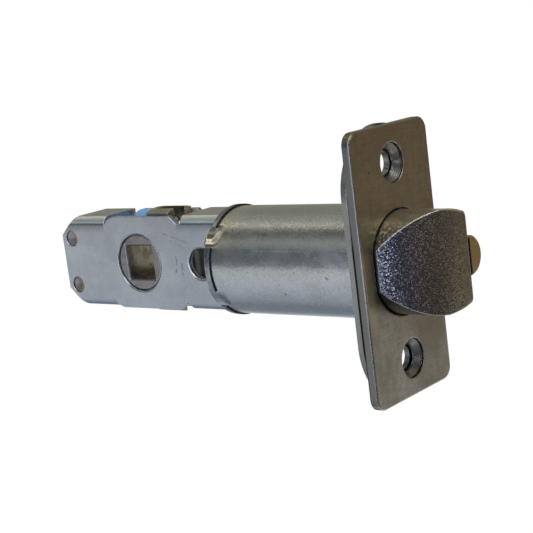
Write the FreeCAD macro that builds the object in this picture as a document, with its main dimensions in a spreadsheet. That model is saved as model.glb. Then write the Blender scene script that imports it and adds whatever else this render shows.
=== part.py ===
"""Tubular door latch with a bevelled spring bolt and a deadlatch plunger.

Millimetres. X is the latch's axis and the bolt points along +X. x = 0 is the front of the
front plate, and the origin is the middle of that face. +Z is up. The bolt's bevel looks
along -Y, and the plunger lies on the bolt's +Y side.
"""
import FreeCAD, Part
import Sketcher
import math
import os

from FreeCAD import Placement, Rotation, Vector

# Driving sizes: alias, value in mm, degrees or turns, and what it is
SIZES = [
    # Front plate and the round-ended plate behind it
    ("face_width", 28.575, "front plate, across the door's edge"),
    ("face_height", 57.15, "front plate, along the door's edge"),
    ("face_thick", 1.9, "front plate's sheet"),
    ("face_corner", 2.8, "radius of the front plate's corners"),
    ("face_edge", 0.3, "bevel along the front plate's front rim"),
    ("bolt_hole_clear", 0.4, "bolt in the front plate's hole"),
    ("screw_pitch", 41.275, "distance between the two screw holes"),
    ("screw_hole_dia", 5.0, "screw holes"),
    ("sink_dia", 8.5, "mouth of the countersinks"),
    ("sink_wall", 0.55, "straight wall of that mouth, in depth"),
    ("sink_angle", 100.0, "countersink, full angle"),
    ("back_inset", 0.44, "round-ended plate's sides, inside the front plate's"),
    ("back_rise", 0.275, "round-ended plate's ends, past the front plate's"),
    ("back_thick", 1.4, "round-ended plate's sheet"),
    # Barrel, its rolled front lip, its rear lugs and the ring that they hold
    ("barrel_dia", 24.3, "outside of the barrel"),
    ("barrel_wall", 1.0, "barrel's wall"),
    ("lip_width", 1.05, "rolled lip at the barrel's front, past the barrel's outside"),
    ("lip_thick", 0.45, "lip's thickness, also the gap between the two plates"),
    ("ring_setback", 42.1, "ring's front, behind the plate's front"),
    ("ring_rise", 0.35, "outside of the ring, past the barrel's"),
    ("ring_thick", 1.8, "ring's thickness"),
    ("ring_edge", 0.35, "bevel of the ring's rear rim"),
    ("lug_lean", 35.0, "lugs' middle, above and below the horizontal"),
    ("lug_span", 22.0, "angle that one lug takes"),
    ("lug_case_gap", 0.8, "lugs' tips, clear of the case's sides"),
    ("lug_thick", 0.9, "lug's thickness where it is folded over"),
    ("lug_gap", 0.5, "room beside a lug in the ring's recess, in degrees"),
    # Case: a folded channel and a flat cover
    ("case_width", 11.4, "case, side to side"),
    ("case_inset", 1.15, "case's top and bottom, inside the barrel's outside"),
    ("case_sheet", 1.2, "case's sheet"),
    ("case_bend", 2.1, "outer radius of the folds"),
    ("case_rear", 94.75, "case's rear edge, behind the plate's front"),
    ("case_front_gap", 0.1, "case's front edge, clear of the barrel's rear end"),
    ("rear_cut_long", 4.75, "rear corners, cut off along the case"),
    ("rear_cut_high", 4.4, "rear corners, cut off in height"),
    ("window_rear", 79.95, "rear end of the windows, behind the plate's front"),
    ("window_front", 55.5, "front end of the windows, behind the plate's front"),
    ("tab_rise", 3.4, "length of a side tab's curved rear end"),
    ("tab_rise_radius", 4.6, "radius of a side tab's curved rear end"),
    ("tab_fall", 2.45, "length of the chamfer at a side tab's front end"),
    ("tab_foot", 0.9, "length of the V's other side"),
    ("notch_dia", 7.2, "slot at the front of the case's sides"),
    ("notch_end", 54.2, "slot's rear end, behind the plate's front"),
    ("rivet_dia", 3.9, "rivets at the case's rear"),
    ("rivet_inset", 3.15, "rivets, in front of the case's rear edge"),
    ("rivet_drop", 5.25, "rivets, below the case's top and above its bottom"),
    ("rivet_sunk", 0.3, "rivets' ends, below the case's faces"),
    ("rivet_dish", 0.5, "depth of the dish in a rivet's end"),
    ("seat_gap", 0.02, "clearance between pieces that are pressed together"),
    # Hub
    ("backset", 69.85, "hub's centre, behind the plate's front"),
    ("hub_dia", 13.3, "hub's journals"),
    ("hub_clear", 0.09, "running clearance around the journals"),
    ("hub_core_dia", 12.6, "hub between the case's sides"),
    ("hub_sunk", 0.25, "hub's ends, below the case's faces"),
    ("hub_shoulder", 0.2, "hub's journals, reaching inside the case's sides"),
    ("hub_edge", 0.25, "bevel of the journals' ends"),
    ("hub_hole_edge", 0.2, "bevel of the hub's holes in the case"),
    ("spindle_square", 8.0, "square hole for the spindle"),
    ("spindle_chamfer", 0.35, "chamfer around the square hole"),
    ("cam_reach", 11.9, "cam's tip, from the hub's centre"),
    ("cam_tip", 1.4, "radius of the cam's tip"),
    ("cam_thick", 3.2, "cam's thickness"),
    # Retractor
    ("throw", 12.7, "travel of the bolt"),
    ("head_rise", 0.15, "round outside of the retractor's heads, past the barrel's"),
    ("head_width", 8.2, "retractor, side to side"),
    ("head_front", 60.2, "heads' front, behind the plate's front"),
    ("head_wall", 1.7, "wall that the cam pushes"),
    ("cam_clear", 0.5, "cam's tip, clear of that wall at rest"),
    ("wall_high", 3.7, "height of that wall, below the head's top"),
    ("arm_inner", 6.8, "underside of the heads and arms, from the axis"),
    ("arm_clear", 0.4, "top of the arms, clear of the case's flanges"),
    ("fork_front", 54.0, "front end of the slot between the prongs"),
    ("fork_slot", 3.7, "width of that slot"),
    ("bridge_thick", 4.6, "retractor's front bridge, along the axis"),
    ("bridge_setback", 40.8, "bridge's front, behind the plate's front"),
    ("bar_pocket", 2.4, "depth of the pocket for the bolt bar's head"),
    # Bolt, its bar and its pin
    ("bolt_clear", 0.3, "bolt's round outside in the barrel"),
    ("bolt_side_cut", 0.85, "depth of the narrow flat on the bevel side"),
    ("bolt_back_flat", 5.4, "flat back of the bolt's nose, from the axis"),
    ("nose_setback", 8.0, "rear end of the nose's flats, behind the plate's front"),
    ("bevel_radius", 21.5, "bevel's curve"),
    ("bevel_start", 0.6, "bevel's foot, in front of the plate"),
    ("bolt_tip_round", 2.6, "rounding of the bolt's tip corners, from the side"),
    ("collar_setback", 13.0, "front of the bolt's collar, behind the plate's front"),
    ("collar_thick", 3.0, "collar's thickness"),
    ("collar_clear", 0.08, "collar in the barrel"),
    ("spring_bore_dia", 10.7, "bore for the spring in the bolt's rear"),
    ("spring_bore_end", 8.5, "bottom of that bore, behind the plate's front"),
    ("bar_slot_end", 1.2, "bottom of the bar's slot, behind the plate's front"),
    ("bar_thick", 2.4, "bolt bar's sheet"),
    ("bar_height", 8.0, "bolt bar, top to bottom"),
    ("bar_head_height", 11.2, "T head at the bar's rear"),
    ("bar_head_long", 2.1, "T head, along the axis"),
    ("bar_clear", 0.15, "bar in the slots that it slides in"),
    ("pin_dia", 2.5, "cross pin through bolt and bar"),
    ("pin_setback", 3.6, "cross pin, behind the plate's front"),
    ("pin_sunk", 0.6, "pin's ends, below the bolt's flats"),
    # Guide plate in the barrel, and the deadlock lever on it
    ("guide_setback", 31.5, "guide plate's front, behind the plate's front"),
    ("guide_thick", 1.0, "guide plate's sheet"),
    ("ear_long", 3.1, "ears of the guide plate"),
    ("ear_thick", 1.0, "ears' thickness"),
    ("ear_low", 4.3, "ears' lower edge, above the axis"),
    ("ear_high", 7.2, "ears' upper edge, above the axis"),
    ("lever_setback", 34.0, "lever's pivot, behind the plate's front"),
    ("lever_height", 5.6, "lever's pivot, above the axis"),
    ("lever_thick", 1.6, "lever's sheet"),
    ("lever_eye", 1.35, "radius of the lever's eye"),
    ("lever_reach", 39.4, "lever's rear end, behind the plate's front"),
    ("lever_low", 6.6, "lever's beam, lower edge"),
    ("lever_high", 8.0, "lever's beam, upper edge"),
    ("finger_long", 1.6, "finger, along the axis"),
    ("finger_gap", 0.12, "finger, above the plunger bar"),
    ("lever_pin_dia", 1.6, "lever's pin"),
    ("lever_pin_clear", 0.05, "lever on its pin"),
    ("ear_gap", 0.2, "lever, clear of the ears"),
    # Plunger, its bar and its rivet
    ("plunger_dia", 8.4, "half-round plunger"),
    ("plunger_inset", 0.2, "plunger's round side, inside the bolt's"),
    ("plunger_tip", 12.6, "plunger's tip, in front of the plate"),
    ("plunger_rear", 14.0, "plunger's rear, behind the plate's front"),
    ("plunger_gap", 0.15, "plunger, clear of the bolt's flat back"),
    ("plunger_passage", 0.2, "plunger, clear of its passage in the bolt's rear"),
    ("plunger_edge", 0.4, "bevel of the plunger's end"),
    ("tail_lift", 0.25, "plunger bar, set into the plunger's flat by this much"),
    ("tail_thick", 1.0, "plunger bar's sheet"),
    ("tail_rear", 39.7, "plunger bar's rear end, behind the plate's front"),
    ("tail_front", 4.0, "plunger bar's front end, behind the plate's front"),
    ("tail_low", 2.2, "plunger bar's lower edge, below the axis"),
    ("tail_rest", 4.1, "plunger bar's top under the finger at rest"),
    ("tail_rest_long", 0.3, "length of that top"),
    ("tail_run", 2.3, "plunger bar's top elsewhere"),
    ("tail_slope", 12.2, "length of the slope between them, the plunger's travel"),
    ("tail_clear", 0.15, "plunger bar in the guide plate's slot and in the ring's"),
    ("tail_rivet_dia", 2.0, "rivet that holds the plunger bar"),
    ("tail_rivet_setback", 9.0, "that rivet, behind the plate's front"),
    ("tail_rivet_long", 4.0, "that rivet's length"),
    # Springs
    ("bolt_spring_dia", 9.5, "bolt spring, mean diameter"),
    ("bolt_spring_wire", 0.9, "bolt spring's wire"),
    ("bolt_spring_turns", 7.0, "bolt spring's turns"),
    ("plunger_spring_wire", 0.5, "plunger spring's wire"),
    ("plunger_spring_turns", 8.0, "plunger spring's turns"),
    ("plunger_spring_inner", 0.35, "plunger spring, clear of the plunger bar"),
    ("plunger_spring_outer", 0.8, "plunger spring, clear of the barrel"),
    ("spring_end_gap", 0.05, "springs' ends, clear of their seats"),
]

DOC = FreeCAD.newDocument("tubular_latch")
SHEET = DOC.addObject("Spreadsheet::Sheet", "Sizes")


class Dim:
    """A size: its number, and the text that works it out from the sheet's cells."""

    def __init__(self, value, text):
        self.value = value
        self.text = text

    def __add__(self, other):
        other = as_dim(other)
        return Dim(self.value + other.value, "(%s + %s)" % (self.text, other.text))

    def __sub__(self, other):
        other = as_dim(other)
        return Dim(self.value - other.value, "(%s - %s)" % (self.text, other.text))

    def __mul__(self, other):
        other = as_dim(other)
        return Dim(self.value * other.value, "(%s * %s)" % (self.text, other.text))

    def __truediv__(self, other):
        other = as_dim(other)
        return Dim(self.value / other.value, "(%s / %s)" % (self.text, other.text))

    def __neg__(self):
        return Dim(-self.value, "(0 - %s)" % self.text)


def as_dim(number):
    """A plain number as a Dim, and a Dim as it is."""
    if isinstance(number, Dim):
        return number
    return Dim(float(number), repr(float(number)))


def cos(angle):
    return Dim(math.cos(math.radians(angle.value)), "cos(%s * 1 deg)" % angle.text)


def sin(angle):
    return Dim(math.sin(math.radians(angle.value)), "sin(%s * 1 deg)" % angle.text)


def tan(angle):
    return Dim(math.tan(math.radians(angle.value)), "tan(%s * 1 deg)" % angle.text)


def sqrt(dim):
    return Dim(math.sqrt(dim.value), "sqrt(%s)" % dim.text)


def fill_sheet():
    """Puts every driving size into the sheet, and gives each back by its alias."""
    sizes = {}
    for row, (alias, value, note) in enumerate(SIZES, start=1):
        SHEET.set("A%d" % row, note)
        SHEET.set("B%d" % row, str(value))
        SHEET.setAlias("B%d" % row, alias)
        sizes[alias] = Dim(value, "Sizes.%s" % alias)
    DOC.recompute()
    return sizes


D = fill_sheet()
ZERO = as_dim(0)
HALF_TURN = as_dim(180)
FULL_TURN = as_dim(360)
# Cutters reach this far past the metal
PAST = as_dim(1)
# Straight runs in one turn of a spring, and flats around its wire
SPRING_STEPS = 10
WIRE_SIDES = 6

# Sizes that follow from the driving ones
BARREL_R = D["barrel_dia"] / 2
BORE_R = BARREL_R - D["barrel_wall"]
PLATE_FRONT = D["face_thick"] + D["lip_thick"]
RING_REAR = D["ring_setback"] + D["ring_thick"]
CASE_FRONT = D["ring_setback"] + D["case_front_gap"]
CASE_HALF_W = D["case_width"] / 2
CASE_HALF_H = BARREL_R - D["case_inset"]
CASE_INNER_W = CASE_HALF_W - D["case_sheet"]
CASE_INNER_H = CASE_HALF_H - D["case_sheet"]
FOOT = CASE_HALF_H - D["case_bend"]
SHOULDER_X = -(RING_REAR + D["seat_gap"])
RIVET_X = -(D["case_rear"] - D["rivet_inset"])
RIVET_Z = CASE_HALF_H - D["rivet_drop"]
SLOT_R = D["notch_dia"] / 2
SLOT_X = -D["notch_end"] + SLOT_R
RING_R = BARREL_R + D["ring_rise"]
BOLT_R = BORE_R - D["bolt_clear"]
BOLT_SIDE = BOLT_R - D["bolt_side_cut"]
COLLAR_REAR = D["collar_setback"] + D["collar_thick"]
GUIDE_REAR = D["guide_setback"] + D["guide_thick"]
BRIDGE_REAR = D["bridge_setback"] + D["bridge_thick"]
PLUNGER_R = D["plunger_dia"] / 2
PLUNGER_Y = BOLT_R - D["plunger_inset"] - PLUNGER_R
PLUNGER_FLAT = D["bolt_back_flat"] + D["plunger_gap"]
TAIL_Y = PLUNGER_FLAT + D["tail_lift"]
TAIL_FAR = TAIL_Y + D["tail_thick"]
CAM_ARM = D["cam_reach"] - D["cam_tip"]
CAM_LEAN = Dim(
    math.degrees(math.asin(D["throw"].value / 2 / CAM_ARM.value)),
    "(asin(%s / 2 / %s) / 1 deg)" % (D["throw"].text, CAM_ARM.text),
)
# Face that the cam pushes, just behind the cam's tip at rest
WALL_X = -D["backset"] + CAM_ARM * sin(CAM_LEAN) - D["cam_tip"] - D["cam_clear"]


def body(name):
    """A new body whose label is the sub-part's name."""
    made = DOC.addObject("PartDesign::Body", name)
    made.Label = name
    return made


def plane(owner, role):
    """One of the body's own origin planes."""
    for feature in owner.Origin.OriginFeatures:
        if feature.Role == role:
            return feature
    raise ValueError(role)


def sketch(owner, name, role, offset=None, turn=None, shift=(None, None)):
    """A sketch on an origin plane, moved along its normal or its axes, or turned about the first."""
    made = owner.newObject("Sketcher::SketchObject", name)
    made.AttachmentSupport = [(plane(owner, role), "")]
    made.MapMode = "FlatFace"
    if turn is not None:
        made.AttachmentOffset = Placement(Vector(), Rotation(Vector(1, 0, 0), 1))
        made.setExpression("AttachmentOffset.Rotation.Angle", turn.text)
    for axis, move in (("x", shift[0]), ("y", shift[1]), ("z", offset)):
        if move is not None:
            made.setExpression("AttachmentOffset.Base.%s" % axis, move.text)
    return made


def bind(made, constraint, dim):
    """Adds a constraint to a sketch and binds its value."""
    made.setExpression("Constraints[%d]" % made.addConstraint(constraint), dim.text)


def pin_point(made, geometry, position, x, y):
    """Fixes one point of a sketch's geometry by its two distances from the origin."""
    bind(made, Sketcher.Constraint("DistanceX", -1, 1, geometry, position, x.value), x)
    bind(made, Sketcher.Constraint("DistanceY", -1, 1, geometry, position, y.value), y)


def arc_between(start, end, radius, turn):
    """The short arc from start to end. turn is 1 for anticlockwise and -1 for clockwise."""
    a = Vector(start[0].value, start[1].value, 0)
    b = Vector(end[0].value, end[1].value, 0)
    chord = b - a
    rise = math.sqrt(max(radius.value ** 2 - chord.Length ** 2 / 4, 0.0))
    left = Vector(-chord.y, chord.x, 0).normalize()
    centre = (a + b) * 0.5 + left * (rise * turn)
    angle_a = math.atan2(a.y - centre.y, a.x - centre.x)
    angle_b = math.atan2(b.y - centre.y, b.x - centre.x)
    whole = Part.Circle(centre, Vector(0, 0, 1), radius.value)
    if turn > 0:
        return Part.ArcOfCircle(whole, angle_a, angle_b)
    return Part.ArcOfCircle(whole, angle_b, angle_a)


def outline(made, points):
    """A closed outline. A point is (x, y), or (x, y, radius, turn) where an arc starts."""
    count = len(points)
    ends = []
    for number, point in enumerate(points):
        following = points[(number + 1) % count]
        if len(point) == 2:
            a = Vector(point[0].value, point[1].value, 0)
            b = Vector(following[0].value, following[1].value, 0)
            ends.append((made.addGeometry(Part.LineSegment(a, b)), 1, 2))
        else:
            radius, turn = point[2], point[3]
            index = made.addGeometry(arc_between(point, following, radius, turn))
            bind(made, Sketcher.Constraint("Radius", index, radius.value), radius)
            ends.append((index, 1, 2) if turn > 0 else (index, 2, 1))
    for number, point in enumerate(points):
        index, start, end = ends[number]
        next_index, next_start, _ = ends[(number + 1) % count]
        made.addConstraint(Sketcher.Constraint("Coincident", index, end, next_index, next_start))
        pin_point(made, index, start, point[0], point[1])


def mirrored(points):
    """The same outline on the other side of the first axis."""
    return [(p[0], -p[1]) if len(p) == 2 else (p[0], -p[1], p[2], -p[3]) for p in points]


def both_halves(upper):
    """Points of an outline that is the same above and below the first axis."""
    lower = []
    for number in reversed(range(len(upper))):
        arc = upper[number - 1][2:] if number > 0 else ()
        lower.append((upper[number][0], -upper[number][1]) + arc)
    return upper + lower


def circle(made, x, y, radius):
    """A circle with its centre and its radius bound."""
    index = made.addGeometry(
        Part.Circle(Vector(x.value, y.value, 0), Vector(0, 0, 1), radius.value))
    bind(made, Sketcher.Constraint("Radius", index, radius.value), radius)
    pin_point(made, index, 3, x, y)


def box_outline(made, low_x, high_x, low_y, high_y):
    outline(made, [(low_x, low_y), (high_x, low_y), (high_x, high_y), (low_x, high_y)])


def rounded_box(made, half_x, half_y, radius):
    """A rectangle about the origin with round corners."""
    x, y = half_x - radius, half_y - radius
    outline(made, [
        (-x, -half_y), (x, -half_y, radius, 1), (half_x, -y), (half_x, y, radius, 1),
        (x, half_y), (-x, half_y, radius, 1), (-half_x, y), (-half_x, -y, radius, 1),
    ])


def extrude(owner, kind, made, length, backwards=False, both_ways=False):
    """A pad or a pocket of a sketch."""
    feature = owner.newObject("PartDesign::%s" % kind, "%s_%s" % (made.Name, kind.lower()))
    feature.Profile = made
    feature.setExpression("Length", length.text)
    feature.SideType = "Symmetric" if both_ways else "One side"
    feature.Reversed = backwards
    return feature


def pad(owner, made, length, **sides):
    return extrude(owner, "Pad", made, length, **sides)


def takes_away(owner, cut, *arguments, **options):
    """Makes a cut and refuses one that misses the metal."""
    DOC.recompute()
    before = owner.Shape.Volume
    feature = cut(owner, *arguments, **options)
    DOC.recompute()
    if not owner.Shape.Volume < before - 1e-6:
        raise ValueError("%s takes nothing away" % feature.Name)


def pocket(owner, made, length, **sides):
    takes_away(owner, extrude, "Pocket", made, length, **sides)


def turned(owner, kind, made, angle=FULL_TURN, axis="H_Axis", both_ways=False):
    """A revolution or a groove about one of the sketch's axes."""
    feature = owner.newObject("PartDesign::%s" % kind, "%s_%s" % (made.Name, kind.lower()))
    feature.Profile = made
    feature.ReferenceAxis = (made, [axis])
    feature.setExpression("Angle", angle.text)
    feature.Midplane = both_ways
    return feature


def revolve(owner, made, **options):
    return turned(owner, "Revolution", made, **options)


def groove(owner, made, **options):
    takes_away(owner, turned, "Groove", made, **options)


def dress(owner, kind, name, size, wanted):
    """A fillet or a chamfer on the body's edges that are wanted."""
    DOC.recompute()
    tip = owner.Tip
    names = ["Edge%d" % (n + 1) for n, edge in enumerate(tip.Shape.Edges) if wanted(edge)]
    if not names:
        raise ValueError("%s finds no edge" % name)
    feature = owner.newObject("PartDesign::%s" % kind, name)
    feature.Base = (tip, names)
    feature.setExpression("Radius" if kind == "Fillet" else "Size", size.text)


def all_along(edge, test):
    """Whether the test holds at five places along an edge."""
    first, last = edge.FirstParameter, edge.LastParameter
    return all(test(edge.valueAt(first + (last - first) * part / 4)) for part in range(5))


def at(number, dim):
    return abs(number - dim.value) < 1e-4


def make_face_plate():
    """Front plate: a stamping with round corners, the bolt's hole and two countersinks."""
    owner = body("face_plate")
    blank = sketch(owner, "face_blank", "YZ_Plane")
    rounded_box(blank, D["face_width"] / 2, D["face_height"] / 2, D["face_corner"])
    pad(owner, blank, D["face_thick"], backwards=True)
    dress(owner, "Chamfer", "face_rim", D["face_edge"],
          lambda edge: all_along(edge, lambda place: at(place.x, ZERO)))
    hole = sketch(owner, "face_bolt_hole", "YZ_Plane")
    hole_r, flat = BOLT_R + D["bolt_hole_clear"], BOLT_SIDE + D["bolt_hole_clear"]
    flat_z = sqrt(hole_r * hole_r - flat * flat)
    outline(hole, [
        (-flat, flat_z), (-flat, -flat_z, hole_r, 1), (ZERO, -hole_r, hole_r, 1),
        (hole_r, ZERO, hole_r, 1), (ZERO, hole_r, hole_r, 1),
    ])
    pocket(owner, hole, (D["face_thick"] + PAST) * 2, both_ways=True)
    screw_r, sink_r = D["screw_hole_dia"] / 2, D["sink_dia"] / 2
    wall = D["sink_wall"]
    depth = wall + (sink_r - screw_r) / tan(D["sink_angle"] / 2)
    rear = -(D["face_thick"] + PAST)
    for name, place in (("upper", D["screw_pitch"] / 2), ("lower", -(D["screw_pitch"] / 2))):
        sink = sketch(owner, "face_%s_sink" % name, "XY_Plane", offset=place)
        outline(sink, [
            (rear, ZERO), (PAST, ZERO), (PAST, sink_r), (-wall, sink_r), (-depth, screw_r),
            (rear, screw_r),
        ])
        groove(owner, sink)


def make_back_plate():
    """Round-ended plate behind the front plate. The barrel's lip is rolled over it."""
    owner = body("back_plate")
    blank = sketch(owner, "back_blank", "YZ_Plane", offset=-PLATE_FRONT)
    half = D["face_width"] / 2 - D["back_inset"]
    straight = D["face_height"] / 2 + D["back_rise"] - half
    outline(blank, [
        (half, -straight), (half, straight, half, 1), (ZERO, straight + half, half, 1),
        (-half, straight), (-half, -straight, half, 1), (ZERO, -(straight + half), half, 1),
    ])
    circle(blank, ZERO, ZERO, BARREL_R + D["seat_gap"])
    for place in (D["screw_pitch"] / 2, -(D["screw_pitch"] / 2)):
        circle(blank, ZERO, place, D["screw_hole_dia"] / 2)
    pad(owner, blank, D["back_thick"], backwards=True)


def lug_middles():
    """Where the four lugs stand around the axis, from +Y."""
    lean = D["lug_lean"]
    return lean, HALF_TURN - lean, HALF_TURN + lean, FULL_TURN - lean


def make_barrel():
    """Barrel: a drawn tube with a rolled front lip and four lugs folded over the ring."""
    owner = body("barrel")
    wall = sketch(owner, "barrel_wall_profile", "XY_Plane")
    lip_r = BARREL_R + D["lip_width"]
    outline(wall, [
        (-D["ring_setback"], BORE_R), (-D["face_thick"], BORE_R), (-D["face_thick"], lip_r),
        (-PLATE_FRONT, lip_r), (-PLATE_FRONT, BARREL_R), (-D["ring_setback"], BARREL_R),
    ])
    revolve(owner, wall)
    fold = D["lug_thick"]
    root = -(D["ring_setback"] - fold)
    seat = -(RING_REAR + D["seat_gap"])
    rear = seat - fold
    tip_r = (CASE_HALF_W + D["lug_case_gap"]) / cos(D["lug_lean"] + D["lug_span"] / 2)
    for number, middle in enumerate(lug_middles(), start=1):
        lug = sketch(owner, "barrel_lug_%d" % number, "XY_Plane", turn=middle)
        outline(lug, [
            (root, BARREL_R), (root, BORE_R), (seat, BORE_R), (seat, tip_r), (rear, tip_r),
            (rear, BARREL_R - fold, fold, -1), (rear + fold, BARREL_R),
        ])
        revolve(owner, lug, angle=D["lug_span"], both_ways=True)


def make_end_ring():
    """Ring at the barrel's rear. The case passes through it and the lugs hold it."""
    owner = body("end_ring")
    blank = sketch(owner, "ring_blank", "YZ_Plane", offset=-D["ring_setback"])
    circle(blank, ZERO, ZERO, RING_R)
    pad(owner, blank, D["ring_thick"], backwards=True)
    dress(owner, "Chamfer", "ring_rim", D["ring_edge"],
          lambda edge: all_along(edge, lambda place: at(place.x, -RING_REAR)))
    gap = D["seat_gap"]
    hole = sketch(owner, "ring_case_hole", "YZ_Plane")
    rounded_box(hole, CASE_HALF_W + gap, CASE_HALF_H + gap, D["case_bend"] + gap)
    pocket(owner, hole, (RING_REAR + PAST) * 2, both_ways=True)
    recesses = sketch(owner, "ring_recesses", "YZ_Plane")
    half_span = D["lug_span"] / 2 + D["lug_gap"]
    inner = BORE_R - gap
    outer = RING_R + PAST
    for middle in lug_middles():
        low, high = middle - half_span, middle + half_span
        outline(recesses, [
            (inner * cos(low), inner * sin(low)), (outer * cos(low), outer * sin(low), outer, 1),
            (outer * cos(high), outer * sin(high)),
            (inner * cos(high), inner * sin(high), inner, -1),
        ])
    pocket(owner, recesses, (RING_REAR + PAST) * 2, both_ways=True)
    slot = sketch(owner, "ring_bar_slot", "YZ_Plane")
    clear = D["tail_clear"]
    box_outline(slot, CASE_INNER_W, TAIL_FAR + clear, -(D["tail_low"] + clear),
                D["tail_rest"] + clear)
    pocket(owner, slot, (RING_REAR + PAST) * 2, both_ways=True)


def tab_points(rear, front):
    """Upper edge of a side tab in a window, from the V at its front to its rear end."""
    vee = front - D["tab_foot"]
    return [
        (vee, FOOT), (vee - D["tab_fall"], CASE_HALF_H),
        (rear + D["tab_rise"], CASE_HALF_H, D["tab_rise_radius"], 1), (rear, FOOT),
    ]


def side_holes(made):
    """Hub hole and rivet holes of a case side."""
    circle(made, -D["backset"], ZERO, D["hub_dia"] / 2 + D["hub_clear"])
    for place in (RIVET_Z, -RIVET_Z):
        circle(made, RIVET_X, place, D["rivet_dia"] / 2 + D["seat_gap"])


def bevel_hub_hole(owner, name, outside):
    """Bevels the hub's hole where it opens on the case's outside."""
    dress(owner, "Chamfer", name, D["hub_hole_edge"],
          lambda edge: edge.isClosed() and at(edge.Curve.Radius, D["hub_dia"] / 2 + D["hub_clear"])
          and at(edge.Curve.Center.y, outside))


def make_case_channel():
    """Near side of the case, folded from one sheet with flanges at the top and bottom."""
    owner = body("case_channel")
    section = sketch(owner, "channel_section", "YZ_Plane", offset=-CASE_FRONT)
    near_y, far_y = -CASE_HALF_W, CASE_HALF_W
    bend, sheet = D["case_bend"], D["case_sheet"]
    inner_bend = bend - sheet
    outline(section, [
        (far_y, CASE_HALF_H), (near_y + bend, CASE_HALF_H, bend, 1),
        (near_y, FOOT), (near_y, -FOOT, bend, 1),
        (near_y + bend, -CASE_HALF_H), (far_y, -CASE_HALF_H), (far_y, -CASE_INNER_H),
        (near_y + bend, -CASE_INNER_H, inner_bend, -1), (near_y + sheet, -FOOT),
        (near_y + sheet, FOOT, inner_bend, -1), (near_y + bend, CASE_INNER_H),
        (far_y, CASE_INNER_H),
    ])
    pad(owner, section, D["case_rear"] - CASE_FRONT, backwards=True)
    windows = sketch(owner, "channel_windows", "XZ_Plane")
    rear, high = -D["case_rear"], CASE_HALF_H + PAST
    window = [
        (-D["window_rear"], FOOT), (-D["window_front"], FOOT), (-D["window_front"], high),
        (-D["window_rear"], high),
    ]
    corner = [
        (rear, CASE_HALF_H - D["rear_cut_high"]), (rear + D["rear_cut_long"], CASE_HALF_H),
        (rear + D["rear_cut_long"], high), (rear - PAST, high),
        (rear - PAST, CASE_HALF_H - D["rear_cut_high"]),
    ]
    for points in (window, mirrored(window), corner, mirrored(corner)):
        outline(windows, points)
    pocket(owner, windows, (CASE_HALF_W + PAST) * 2, both_ways=True)
    tabs = sketch(owner, "channel_tabs", "XZ_Plane", offset=CASE_HALF_W)
    root = FOOT - bend
    win_rear, win_front = -D["window_rear"], -D["window_front"]
    tab = [(win_rear, root), (win_front, root), (win_front, FOOT + D["tab_foot"])]
    tab += tab_points(win_rear, win_front)
    outline(tabs, tab)
    outline(tabs, mirrored(tab))
    pad(owner, tabs, sheet, backwards=True)
    cuts = sketch(owner, "channel_cuts", "XZ_Plane", offset=CASE_HALF_W)
    side_holes(cuts)
    outline(cuts, [
        (-CASE_FRONT + PAST, -SLOT_R), (-CASE_FRONT + PAST, SLOT_R), (SLOT_X, SLOT_R, SLOT_R, 1),
        (SLOT_X - SLOT_R, ZERO, SLOT_R, 1), (SLOT_X, -SLOT_R),
    ])
    pocket(owner, cuts, (sheet + PAST) * 2, both_ways=True)
    shoulder = sketch(owner, "channel_shoulder", "XY_Plane")
    box_outline(shoulder, SHOULDER_X, -CASE_FRONT + PAST, CASE_HALF_W - bend, CASE_HALF_W + PAST)
    pocket(owner, shoulder, (CASE_HALF_H + PAST) * 2, both_ways=True)
    bevel_hub_hole(owner, "channel_hub_hole_edge", near_y)


def make_case_cover():
    """Far side of the case: a flat plate that sits between the channel's flanges."""
    owner = body("case_cover")
    plate = sketch(owner, "cover_outline", "XZ_Plane", offset=-CASE_INNER_W)
    gap = D["seat_gap"]
    high = CASE_INNER_H - gap
    win_rear, win_front = -D["window_rear"] + gap, -D["window_front"] - gap
    rear = -D["case_rear"]
    cut_low = CASE_HALF_H - D["rear_cut_high"]
    cut_x = rear + D["rear_cut_long"] * (high - cut_low) / D["rear_cut_high"]
    upper = [
        (-CASE_FRONT, SLOT_R), (-CASE_FRONT, FOOT), (SHOULDER_X, FOOT), (SHOULDER_X, high),
        (win_front, high),
    ]
    upper += tab_points(win_rear, win_front)
    upper += [(win_rear, high), (cut_x, high), (rear, cut_low)]
    slot = [
        (SLOT_X, -SLOT_R, SLOT_R, -1), (SLOT_X - SLOT_R, ZERO, SLOT_R, -1), (SLOT_X, SLOT_R),
    ]
    outline(plate, both_halves(upper) + slot)
    side_holes(plate)
    pad(owner, plate, D["case_sheet"], backwards=True)
    bevel_hub_hole(owner, "cover_hub_hole_edge", CASE_HALF_W)


def make_case_rivets():
    """Two rivets at the case's rear, with dished ends that lie below its faces."""
    owner = body("case_rivets")
    owner.AllowCompound = True
    half, dish, rivet_r = CASE_HALF_W - D["rivet_sunk"], D["rivet_dish"], D["rivet_dia"] / 2
    for name, place in (("upper", RIVET_Z), ("lower", -RIVET_Z)):
        profile = sketch(owner, "rivet_%s" % name, "XY_Plane", offset=place,
                         shift=(RIVET_X, None))
        outline(profile, [
            (ZERO, dish - half), (rivet_r, -half), (rivet_r, half), (ZERO, half - dish),
        ])
        revolve(owner, profile, axis="V_Axis")


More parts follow.
